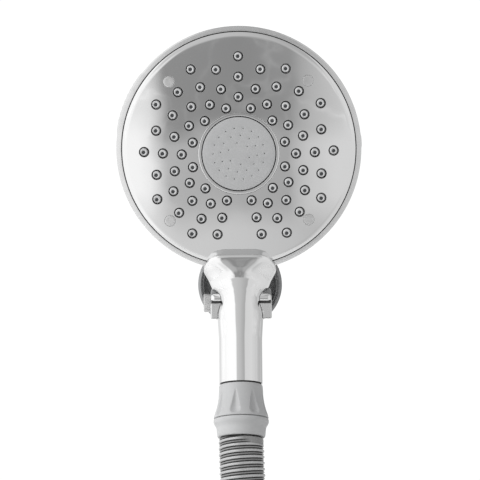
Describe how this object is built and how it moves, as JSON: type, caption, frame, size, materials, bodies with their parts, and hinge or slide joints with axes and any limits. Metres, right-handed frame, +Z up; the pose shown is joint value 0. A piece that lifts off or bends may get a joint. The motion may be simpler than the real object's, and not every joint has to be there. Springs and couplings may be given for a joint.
{
  "type": "handheld shower head",
  "caption": "Handheld shower head: round spray face with nozzles, mode ring, chrome handle, swivel hose nut, folded hose and a swivelling arm bracket.",
  "frame": {"origin": "middle of the mouth of the arm nut, where the shower arm screws in; the arm holds the whole part up", "axes": "+Z up, +X to the right of a person who faces the spray, spray leaves along -Y and the shower arm comes from +Y"},
  "size_m": [0.1424, 0.1801, 0.7357],
  "materials": {
    "bracket_plastic": "satin dark grey moulded plastic",
    "chrome": "bright chrome plating on moulded ABS",
    "satin_chrome": "satin chrome plating on moulded ABS",
    "pin_steel": "stainless steel",
    "arm_chrome": "chromed brass",
    "nozzle_silicone": "grey silicone",
    "mist_plastic": "fine matte grey plastic",
    "white_plastic": "white acetal",
    "carrier_plastic": "black glass-filled plastic",
    "rubber": "black rubber",
    "brass": "turned brass",
    "nut_plastic": "satin grey moulded plastic",
    "hose": "metallic grey interlocked spiral",
    "tie": "black woven hook-and-loop strap"
  },
  "bodies": {
    "arm_fitting": {"arm_nut": "arm_chrome", "pivot_ball": "arm_chrome", "filter_screen": "pin_steel", "arm_washer": "rubber"},
    "front_socket": {"front_seat": "white_plastic"},
    "rear_socket": {"rear_seat": "white_plastic"},
    "bracket": {"bracket_body": "bracket_plastic", "swivel_collar": "bracket_plastic", "ball_seal": "rubber"},
    "cradle_fork": {"cradle": "satin_chrome", "pivot_pin": "pin_steel", "pin_nut": "pin_steel", "friction_washer_left": "rubber", "friction_washer_right": "rubber"},
    "handset": {"head_housing": "chrome", "face_plate": "chrome", "face_plug_1": "chrome", "face_plug_2": "chrome", "face_plug_3": "chrome", "face_plug_4": "chrome", "nozzle_mat": "nozzle_silicone", "centre_ring": "satin_chrome", "mist_disc": "mist_plastic", "water_distributor": "white_plastic", "distributor_seal": "rubber", "centre_screw": "pin_steel", "turbine_pin": "pin_steel", "waterway_tube": "white_plastic", "tube_o_ring": "rubber", "inlet_spigot": "brass", "flow_restrictor": "white_plastic", "inlet_screen": "pin_steel", "hose_washer": "rubber", "hose_insert": "brass", "crimp_collar": "nut_plastic", "hose": "hose", "hose_hank": "hose", "hose_tie": "tie", "end_collar": "nut_plastic", "end_insert": "brass", "end_washer": "rubber"},
    "selector": {"selector_ring": "satin_chrome", "ring_carrier": "carrier_plastic", "diverter_disc": "white_plastic"},
    "turbine_wheel": {"turbine": "white_plastic"},
    "detent": {"detent_plunger": "brass"},
    "nut": {"hose_nut": "nut_plastic"},
    "free_nut": {"end_nut": "nut_plastic"}
  },
  "joints": [
    {"name": "bracket_turn", "type": "hinge", "parent": "arm_fitting", "child": "front_socket", "pos_m": [0, -0.034, 0], "axis": [0, 1, 0], "range_deg": [-90, 90]},
    {"name": "bracket_yaw", "type": "hinge", "parent": "front_socket", "child": "rear_socket", "pos_m": [0, -0.034, 0], "axis": [0, 0, 1], "range_deg": [-10, 10]},
    {"name": "bracket_pitch", "type": "hinge", "parent": "rear_socket", "child": "bracket", "pos_m": [0, -0.034, 0], "axis": [1, 0, 0], "range_deg": [-10, 10]},
    {"name": "cradle_tilt", "type": "hinge", "parent": "bracket", "child": "cradle_fork", "pos_m": [0, -0.074, -0.0088], "axis": [1, 0, 0], "range_deg": [-15, 15]},
    {"name": "handset_undock", "type": "slide", "parent": "cradle_fork", "child": "handset", "axis": [0, -0.9455, 0.3256], "range_m": [0, 0.08]},
    {"name": "mode_select", "type": "hinge", "parent": "handset", "child": "selector", "pos_m": [0, -0.096, 0.083], "axis": [0, 1, 0], "range_deg": [0, 150]},
    {"name": "turbine_spin", "type": "hinge", "parent": "handset", "child": "turbine_wheel", "pos_m": [0, -0.096, 0.08], "axis": [0, 1, 0], "continuous": true},
    {"name": "detent_travel", "type": "slide", "parent": "handset", "child": "detent", "axis": [0, 1, 0], "range_m": [0, 0.0008], "stiffness_N_per_m": 600},
    {"name": "hose_nut_spin", "type": "hinge", "parent": "handset", "child": "nut", "pos_m": [0, -0.0989, -0.0087], "axis": [0, 0.3256, 0.9455], "continuous": true},
    {"name": "free_nut_spin", "type": "hinge", "parent": "handset", "child": "free_nut", "pos_m": [0.0266, -0.1362, -0.55451], "axis": [0, 0, 1], "continuous": true}
  ]
}
